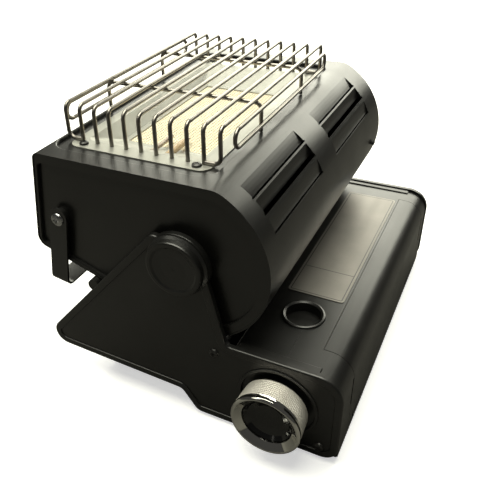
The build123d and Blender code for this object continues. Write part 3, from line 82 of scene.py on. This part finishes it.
# ---------------------------------------------------------------- studio
LAMP_COLOR = (1.0, 0.99, 0.84)
SOFTBOXES = (               # name, place, what it points at, size, watts
    ("sky_panel", (0.02, -0.25, 1.5), (0.05, 0, 0.1), (1.5, 1.3), 38),
    ("far_panel", (-1.5, -0.2, 0.8), (0, 0, 0.2), (2.0, 0.85), 31),
    ("side_panel", (1.1, -1.1, 1.3), (0, 0, 0.1), (0.6, 0.8), 3),
)
FILL_COLOR = (1.0, 0.98, 0.92)
FILL_STRENGTH = 0.055
WHITE = (1, 1, 1)
FLOOR_RADIUS = 6
FLOOR_SIDES = 96
PAPER_SEEN = (0.86, 0.86, 0.86)
PAPER_BOUNCE = (0.1, 0.097, 0.088)
PAPER_GLOW = 0.55
PAPER_ROUGHNESS = 0.9


def add_softbox(name, place, target, size, power):
    lamp = bpy.data.lights.new(name, "AREA")
    lamp.shape = "RECTANGLE"
    lamp.size, lamp.size_y = size
    lamp.energy = power
    lamp.color = LAMP_COLOR
    holder = bpy.data.objects.new(name, lamp)
    holder.location = place
    holder.rotation_euler = (Vector(target) - Vector(place)).to_track_quat("-Z", "Y").to_euler()
    bpy.context.scene.collection.objects.link(holder)


def seen_directly(tree):
    """1 for rays from the camera, 0 for reflections and light that bounces."""
    path = tree.nodes.new("ShaderNodeLightPath")
    seen = tree.nodes.new("ShaderNodeMath")
    seen.operation = "MAXIMUM"
    tree.links.new(path.outputs["Is Camera Ray"], seen.inputs[0])
    tree.links.new(path.outputs["Is Transmission Ray"], seen.inputs[1])
    return seen.outputs[0]


def light_the_world():
    """A white backdrop for the camera, and a faint fill for the object."""
    world = bpy.data.worlds.new("studio")
    bpy.context.scene.world = world
    world.use_nodes = True
    tree = world.node_tree
    fill = tree.nodes["Background"]
    fill.inputs["Color"].default_value = (*FILL_COLOR, 1)
    fill.inputs["Strength"].default_value = FILL_STRENGTH
    white = tree.nodes.new("ShaderNodeBackground")
    white.inputs["Color"].default_value = (*WHITE, 1)
    mix = tree.nodes.new("ShaderNodeMixShader")
    tree.links.new(seen_directly(tree), mix.inputs[0])
    tree.links.new(fill.outputs[0], mix.inputs[1])
    tree.links.new(white.outputs[0], mix.inputs[2])
    tree.links.new(mix.outputs[0], tree.nodes["World Output"].inputs[0])


def add_floor():
    """Paper that looks white to the camera, and throws little light back on the object."""
    bpy.ops.object.select_all(action="DESELECT")
    bpy.ops.mesh.primitive_circle_add(vertices=FLOOR_SIDES, radius=FLOOR_RADIUS, fill_type="NGON")
    floor = bpy.context.object
    floor.name = "floor"
    paper = bpy.data.materials.new("white_paper")
    paper.use_nodes = True
    tree = paper.node_tree
    shader = tree.nodes["Principled BSDF"]
    shader.inputs["Roughness"].default_value = PAPER_ROUGHNESS
    seen = seen_directly(tree)
    tree.links.new(tint(tree, seen, PAPER_BOUNCE, PAPER_SEEN), shader.inputs["Base Color"])
    glow = tree.nodes.new("ShaderNodeMath")
    glow.operation = "MULTIPLY"
    glow.inputs[1].default_value = PAPER_GLOW
    tree.links.new(seen, glow.inputs[0])
    tree.links.new(glow.outputs[0], shader.inputs["Emission Strength"])
    shader.inputs["Emission Color"].default_value = (*WHITE, 1)
    floor.data.materials.append(paper)


# ---------------------------------------------------------------- textures
SPECULAR_LEVEL = 0.7
GRAIN_ROUGHNESS = 0.55
GRAIN_RANGE = (0.3, 0.7)    # where nearly all of a noise's values lie
COLOR_DETAIL = 4
GLOSS_DETAIL = 5
RELIEF_DETAIL = 2
GLOSS_RATIO = 2.3           # how much finer the changes of gloss are than those of colour


def new_finish(name, color, roughness, metallic):
    """Finish with plain values, which the textures then take over."""
    material = bpy.data.materials.new(name)
    material.use_nodes = True
    shader = material.node_tree.nodes["Principled BSDF"]
    shader.inputs["Specular IOR Level"].default_value = SPECULAR_LEVEL
    shader.inputs["Base Color"].default_value = (*color, 1)
    shader.inputs["Roughness"].default_value = roughness
    shader.inputs["Metallic"].default_value = metallic
    return material


def grain(tree, scale, detail, stretch=(1, 1, 1)):
    """Noise on object coordinates, scale in waves per metre."""
    where = tree.nodes.new("ShaderNodeTexCoord")
    mapping = tree.nodes.new("ShaderNodeMapping")
    mapping.inputs["Scale"].default_value = stretch
    noise = tree.nodes.new("ShaderNodeTexNoise")
    noise.inputs["Scale"].default_value = scale
    noise.inputs["Detail"].default_value = detail
    noise.inputs["Roughness"].default_value = GRAIN_ROUGHNESS
    tree.links.new(where.outputs["Object"], mapping.inputs["Vector"])
    tree.links.new(mapping.outputs["Vector"], noise.inputs["Vector"])
    return noise.outputs["Fac"]


def spread(tree, source, low, high):
    """Stretches a noise's range over low to high."""
    span = tree.nodes.new("ShaderNodeMapRange")
    span.inputs["From Min"].default_value = GRAIN_RANGE[0]
    span.inputs["From Max"].default_value = GRAIN_RANGE[1]
    span.inputs["To Min"].default_value = low
    span.inputs["To Max"].default_value = high
    tree.links.new(source, span.inputs["Value"])
    return span.outputs["Result"]


def tint(tree, source, first, second):
    """Colour that goes from first to second as source goes from 0 to 1."""
    mix = tree.nodes.new("ShaderNodeMix")
    mix.data_type = "RGBA"
    mix.inputs["A"].default_value = (*first, 1)
    mix.inputs["B"].default_value = (*second, 1)
    tree.links.new(source, mix.inputs["Factor"])
    return mix.outputs["Result"]


def emboss(tree, shader, height, depth):
    """Bump from a height texture, depth in metres."""
    bump = tree.nodes.new("ShaderNodeBump")
    bump.inputs["Strength"].default_value = 1
    bump.inputs["Distance"].default_value = depth
    tree.links.new(height, bump.inputs["Height"])
    tree.links.new(bump.outputs["Normal"], shader.inputs["Normal"])


def textured(name, first, second, rough, metallic=0.0, mottle=40, peel=900, depth=0.02 * MM,
             stretch=(1, 1, 1)):
    """Finish with a slow change of colour and gloss, and a fine relief.

    The colour goes from first to second, and the roughness over rough. mottle and peel are
    the waves per metre of the colour and of the relief, and stretch draws gloss and relief out.
    """
    material = new_finish(name, first, sum(rough) / 2, metallic)
    tree = material.node_tree
    shader = tree.nodes["Principled BSDF"]
    slow = spread(tree, grain(tree, mottle, COLOR_DETAIL), 0, 1)
    tree.links.new(tint(tree, slow, first, second), shader.inputs["Base Color"])
    smear = spread(tree, grain(tree, mottle * GLOSS_RATIO, GLOSS_DETAIL, stretch), *rough)
    tree.links.new(smear, shader.inputs["Roughness"])
    emboss(tree, shader, grain(tree, peel, RELIEF_DETAIL, stretch), depth)
    return material


# ---------------------------------------------------------------- finishes
def satin_black_paint():
    """Heat-proof black paint on sheet steel, with a faint orange peel."""
    return textured("satin_black_paint", (0.004, 0.004, 0.0036), (0.008, 0.008, 0.0072),
                    rough=(0.28, 0.36), mottle=14, peel=520, depth=0.03 * MM)


def moulded_black():
    return textured("moulded_black", (0.005, 0.005, 0.0046), (0.009, 0.009, 0.0083),
                    rough=(0.3, 0.38), mottle=30, peel=1400, depth=0.04 * MM)


def strap_black():
    """Paint on the carrying handle's steel strap."""
    return textured("strap_black", (0.009, 0.009, 0.009), (0.013, 0.013, 0.012),
                    rough=(0.3, 0.4), mottle=30, peel=700, depth=0.03 * MM)


def gloss_black():
    return textured("gloss_black", (0.003, 0.003, 0.003), (0.005, 0.005, 0.005),
                    rough=(0.1, 0.16), mottle=60, peel=400, depth=0.01 * MM)


def chrome_plate():
    return textured("chrome_plate", (0.31, 0.29, 0.265), (0.25, 0.235, 0.21),
                    rough=(0.28, 0.38), metallic=1.0, mottle=50, peel=300, depth=0.01 * MM)


def polished_chrome():
    """The knob's lip and bevel."""
    return textured("polished_chrome", (0.78, 0.77, 0.73), (0.72, 0.71, 0.67),
                    rough=(0.03, 0.07), metallic=1.0, mottle=50, peel=200, depth=0.01 * MM)


def knurled_chrome_painted_sheen():
    """The knob's barrel, duller than the lip. Its paler, partly non-metal colour is a painted sheen that
    stands in for the light the knurled chrome reflects.
    """
    return textured("knurled_chrome_painted_sheen", (0.86, 0.83, 0.77), (0.78, 0.75, 0.69),
                    rough=(0.42, 0.5), metallic=0.75, mottle=50, peel=1500, depth=0.01 * MM)


def bright_sheet():
    """Reflector tray, drawn and brushed lengthwise."""
    return textured("bright_sheet", (0.47, 0.47, 0.43), (0.37, 0.37, 0.34),
                    rough=(0.46, 0.6), metallic=1.0, mottle=20, peel=700, depth=0.01 * MM,
                    stretch=(0.15, 1, 1))


def plated_steel():
    return textured("plated_steel", (0.42, 0.42, 0.43), (0.5, 0.49, 0.47),
                    rough=(0.28, 0.42), metallic=1.0, mottle=60, peel=900, depth=0.02 * MM)


def screw_steel():
    return textured("screw_steel", (0.5, 0.5, 0.51), (0.4, 0.4, 0.4),
                    rough=(0.2, 0.34), metallic=1.0, mottle=200, peel=1800, depth=0.02 * MM)


def blackened_screw():
    return textured("blackened_screw", (0.03, 0.03, 0.03), (0.06, 0.058, 0.055),
                    rough=(0.25, 0.38), metallic=0.6, mottle=200, peel=1800, depth=0.02 * MM)


def cast_alloy():
    return textured("cast_alloy", (0.42, 0.42, 0.43), (0.52, 0.52, 0.52),
                    rough=(0.4, 0.6), metallic=1.0, mottle=90, peel=1500, depth=0.08 * MM)


def turned_brass():
    return textured("turned_brass", (0.62, 0.42, 0.16), (0.7, 0.52, 0.24),
                    rough=(0.2, 0.34), metallic=1.0, mottle=80, peel=2400, depth=0.02 * MM,
                    stretch=(3, 1, 1))


def copper_tube():
    return textured("copper_tube", (0.72, 0.35, 0.2), (0.55, 0.26, 0.15),
                    rough=(0.22, 0.4), metallic=1.0, mottle=60, peel=1200, depth=0.02 * MM)


def glazed_ceramic():
    return textured("glazed_ceramic", (0.5, 0.36, 0.2), (0.4, 0.28, 0.15),
                    rough=(0.2, 0.3), mottle=120, peel=900, depth=0.02 * MM)


def heat_tinted_steel():
    """Probe tips, browned by the flame."""
    return textured("heat_tinted_steel", (0.5, 0.46, 0.4), (0.34, 0.27, 0.22),
                    rough=(0.2, 0.4), metallic=1.0, mottle=110, peel=1500, depth=0.02 * MM)


def fibre_gasket():
    return textured("fibre_gasket", (0.8, 0.78, 0.72), (0.68, 0.66, 0.6),
                    rough=(0.85, 0.95), mottle=300, peel=3500, depth=0.2 * MM)


def soft_rubber():
    return textured("soft_rubber", (0.02, 0.02, 0.02), (0.032, 0.031, 0.03),
                    rough=(0.6, 0.8), mottle=80, peel=2500, depth=0.05 * MM)


def natural_nylon():
    return textured("natural_nylon", (0.76, 0.74, 0.68), (0.7, 0.68, 0.61),
                    rough=(0.35, 0.5), mottle=80, peel=1500, depth=0.03 * MM)


def red_moulding():
    return textured("red_moulding", (0.5, 0.05, 0.04), (0.42, 0.04, 0.035),
                    rough=(0.3, 0.42), mottle=80, peel=1800, depth=0.03 * MM)


def brushed_label():
    return textured("brushed_label", (0.26, 0.245, 0.225), (0.21, 0.2, 0.185),
                    rough=(0.44, 0.54), metallic=0.85, mottle=30, peel=1500, depth=0.01 * MM,
                    stretch=(0.04, 1, 1))


def label_ink():
    return textured("label_ink", (0.02, 0.02, 0.02), (0.035, 0.035, 0.035),
                    rough=(0.4, 0.5), mottle=60, peel=900, depth=0.01 * MM)


def can_lacquer():
    return textured("can_lacquer", (0.55, 0.57, 0.56), (0.48, 0.5, 0.49),
                    rough=(0.2, 0.3), metallic=0.2, mottle=30, peel=500, depth=0.02 * MM)


def fired_ceramic():
    return textured("fired_ceramic", (0.9, 0.83, 0.65), (0.86, 0.78, 0.59),
                    rough=(0.8, 0.95), mottle=60, peel=1500, depth=0.2 * MM)


FINISHES = {
    "black_sheet": satin_black_paint(),
    "black_moulding": moulded_black(),
    "black_strap": strap_black(),
    "gloss_black": gloss_black(),
    "chrome": chrome_plate(),
    "bright_sheet": bright_sheet(),
    "plain_steel": plated_steel(),
    "screw_steel": screw_steel(),
    "black_screw": blackened_screw(),
    "cast_alloy": cast_alloy(),
    "brass": turned_brass(),
    "copper": copper_tube(),
    "burner_ceramic": fired_ceramic(),
    "white_ceramic": glazed_ceramic(),
    "probe_steel": heat_tinted_steel(),
    "fibre_gasket": fibre_gasket(),
    "rubber": soft_rubber(),
    "nylon": natural_nylon(),
    "igniter_plastic": red_moulding(),
    "label_metal": brushed_label(),
    "can_paint": can_lacquer(),
}


def paint_the_solids():
    for name, node in NODES.items():
        for slot in node.material_slots:
            slot.material = FINISHES[SLOT_OF[name]]


# ---------------------------------------------------------------- modelling steps
SMOOTH_ANGLE = 32
FACING = 0.9                # least share of a normal along a direction that a face looks in


def start_piece(name, add, **size):
    """A new primitive with nothing else selected, left in edit mode with all of it selected."""
    bpy.ops.object.select_all(action="DESELECT")
    add(**size)
    piece = bpy.context.object
    piece.name = name
    bpy.ops.object.mode_set(mode="EDIT")
    bpy.ops.mesh.select_all(action="SELECT")
    return piece


def finish_piece(piece, body, finish, node):
    """Puts the piece's place in its mesh and hangs it on its body in place of its solid."""
    bpy.ops.mesh.select_all(action="SELECT")
    bpy.ops.mesh.normals_make_consistent(inside=False)
    bpy.ops.object.mode_set(mode="OBJECT")
    bpy.ops.object.transform_apply(location=True, rotation=True, scale=True)
    bpy.ops.object.shade_smooth_by_angle(angle=radians(SMOOTH_ANGLE))
    if not piece.data.materials:
        piece.data.materials.append(FINISHES[finish])
    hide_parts(node)
    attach(piece, body)


def select_faces(piece, chosen):
    """Selects the faces whose middle and normal pass the test, in the piece's own frame."""
    mesh = bmesh.from_edit_mesh(piece.data)
    for face in mesh.faces:
        face.select_set(chosen(face.calc_center_median(), face.normal))
    mesh.select_flush_mode()
    bmesh.update_edit_mesh(piece.data)


def give_two_finishes(piece, main, second, chosen):
    """The faces that pass the test get the second finish, and the others the main one."""
    piece.data.materials.append(main)
    piece.data.materials.append(second)
    select_faces(piece, chosen)
    piece.active_material_index = 1
    bpy.ops.object.material_slot_assign()


def looks_up(at, normal):
    return normal.z > FACING


# ---------------------------------------------------------------- burner plaque, with rows of fire holes
HOLE_PITCH = 2.6 * MM
HOLE_LAND = 0.66 * MM       # land round each hole, inside its cell
HOLE_DEPTH = 0.8 * MM


def burner_plaque():
    low, high = (Vector(corner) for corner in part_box("ceramic_plaque"))
    size = high - low
    middle = (low + high) / 2
    piece = start_piece("burner_plaque", bpy.ops.mesh.primitive_grid_add, size=1,
                        x_subdivisions=round(size.x / HOLE_PITCH),
                        y_subdivisions=round(size.y / HOLE_PITCH),
                        location=(middle.x, middle.y, high.z))
    bpy.ops.transform.resize(value=(size.x, size.y, 1))
    bpy.ops.mesh.inset(thickness=HOLE_LAND, use_individual=True)
    bpy.ops.mesh.extrude_region_move(TRANSFORM_OT_translate={"value": (0, 0, -HOLE_DEPTH)})
    # the rim of the sheet goes down to the underside and is closed there
    bpy.ops.mesh.select_all(action="DESELECT")
    bpy.ops.mesh.select_mode(type="EDGE")
    bpy.ops.mesh.select_non_manifold()
    bpy.ops.mesh.extrude_region_move(TRANSFORM_OT_translate={"value": (0, 0, -size.z)})
    bpy.ops.mesh.edge_face_add()
    bpy.ops.mesh.select_mode(type="FACE")
    finish_piece(piece, "head", "burner_ceramic", "ceramic_plaque")


# ---------------------------------------------------------------- knob ring: knurled barrel, polished lip
KNURL_TEETH = 120
KNURL_ROWS = 9
KNURL_LAND = 0.42 * MM
KNURL_RISE = 0.35 * MM
KNOB_BACK_R = 23.9 * MM
KNOB_BARREL_R = 25.0 * MM
KNOB_BARREL = 15.6 * MM     # length of the knurled barrel
KNURL_LEAST_R = 22.0 * MM   # the faces of the back and the bore lie nearer the axis than this
KNOB_RIM = (                # distance behind the front and radius, from the barrel's end over the lip
    (4.6 * MM, 24.7 * MM), (3.9 * MM, 24.7 * MM), (3.3 * MM, 25.5 * MM), (1.4 * MM, 25.6 * MM),
    (0.5 * MM, 25.1 * MM), (0.0 * MM, 24.2 * MM), (0.1 * MM, 23.2 * MM), (0.9 * MM, 22.4 * MM),
    (4.0 * MM, 18.6 * MM), (6.0 * MM, 18.5 * MM), (6.0 * MM, 19.9 * MM),
)


def knob_profile(back, front):
    """Places along the axis and radii of the ring's outline, from the back over the lip to the bore."""
    steps = []
    for row in range(1, KNURL_ROWS + 1):
        share = row / KNURL_ROWS
        steps.append((back + KNOB_BARREL * share, KNOB_BACK_R + (KNOB_BARREL_R - KNOB_BACK_R) * share))
    steps += [(front - behind, radius) for behind, radius in KNOB_RIM]
    bore_radius = KNOB_RIM[-1][1]
    steps.append((back, bore_radius))
    return steps


def knob_grip():
    low, high = (Vector(corner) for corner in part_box("knob_ring"))
    middle = (low + high) / 2
    piece = start_piece("knob_grip", bpy.ops.mesh.primitive_circle_add, vertices=KNURL_TEETH,
                        radius=KNOB_BACK_R, location=(low.x, middle.y, middle.z),
                        rotation=(0, radians(90), 0))
    bpy.ops.mesh.select_mode(type="EDGE")
    place = low.x
    radius = KNOB_BACK_R
    for next_place, next_radius in knob_profile(low.x, high.x):
        growth = next_radius / radius
        bpy.ops.mesh.extrude_edges_move(TRANSFORM_OT_translate={"value": (next_place - place, 0, 0)})
        bpy.ops.transform.resize(value=(1, growth, growth))
        place = next_place
        radius = next_radius
    # the open edges at the back are joined
    bpy.ops.mesh.select_all(action="DESELECT")
    bpy.ops.mesh.select_non_manifold()
    bpy.ops.mesh.bridge_edge_loops()
    bpy.ops.mesh.select_mode(type="FACE")
    bpy.ops.mesh.select_all(action="SELECT")
    bpy.ops.mesh.normals_make_consistent(inside=False)
    # the piece is turned, so the knob's axis is its own Z
    select_faces(piece, lambda at, normal: at.z < KNOB_BARREL and at.xy.length > KNURL_LEAST_R)
    bpy.ops.mesh.inset(thickness=KNURL_LAND, depth=KNURL_RISE, use_individual=True)
    # the knurled barrel gets the finish with the painted sheen, and the lip gets polished chrome
    give_two_finishes(piece, knurled_chrome_painted_sheen(), polished_chrome(),
                      lambda at, normal: at.z > KNOB_BARREL)
    finish_piece(piece, "knob", "chrome", "knob_ring")


# ---------------------------------------------------------------- label plate: blank, with a printed border
LABEL_BORDER = 1.6 * MM     # from the plate's edge to the border line
LABEL_LINE = 0.8 * MM
LABEL_CORNER = 2.6 * MM
LABEL_CORNER_STEPS = 5
LABEL_DIVIDE = 0.79         # share of the length at the dividing line


def label_face():
    low, high = (Vector(corner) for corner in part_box("label_plate"))
    size = high - low
    middle = (low + high) / 2
    piece = start_piece("label_face", bpy.ops.mesh.primitive_cube_add, size=1, location=middle)
    bpy.ops.transform.resize(value=size)
    # the upright edges are rounded
    bpy.ops.mesh.select_mode(type="EDGE")
    mesh = bmesh.from_edit_mesh(piece.data)
    for edge in mesh.edges:
        ends = edge.verts
        edge.select_set(abs(ends[0].co.z - ends[1].co.z) > size.z / 2)
    bmesh.update_edit_mesh(piece.data)
    bpy.ops.mesh.bevel(offset=LABEL_CORNER, segments=LABEL_CORNER_STEPS)
    # the printed lines are cut into the top face
    bpy.ops.mesh.select_mode(type="FACE")
    select_faces(piece, looks_up)
    bpy.ops.mesh.inset(thickness=LABEL_BORDER)
    bpy.ops.mesh.inset(thickness=LABEL_LINE)
    line_x = size.x * (LABEL_DIVIDE - 0.5)
    for edge_x in (line_x - LABEL_LINE / 2, line_x + LABEL_LINE / 2):
        bpy.ops.mesh.bisect(plane_co=(middle.x + edge_x, middle.y, high.z), plane_no=(1, 0, 0))
        select_faces(piece, looks_up)
    reach_x = size.x / 2 - LABEL_BORDER
    reach_y = size.y / 2 - LABEL_BORDER

    def printed(at, normal):
        if not looks_up(at, normal) or abs(at.x) > reach_x or abs(at.y) > reach_y:
            return False
        on_border = abs(at.x) > reach_x - LABEL_LINE or abs(at.y) > reach_y - LABEL_LINE
        return on_border or abs(at.x - line_x) < LABEL_LINE / 2

    give_two_finishes(piece, FINISHES["label_metal"], label_ink(), printed)
    finish_piece(piece, "base", "label_metal", "label_plate")


# ---------------------------------------------------------------- scene
paint_the_solids()
burner_plaque()
knob_grip()
label_face()
add_camera()
light_the_world()
add_floor()
for softbox in SOFTBOXES:
    add_softbox(*softbox)
bpy.context.scene.view_settings.view_transform = "Standard"
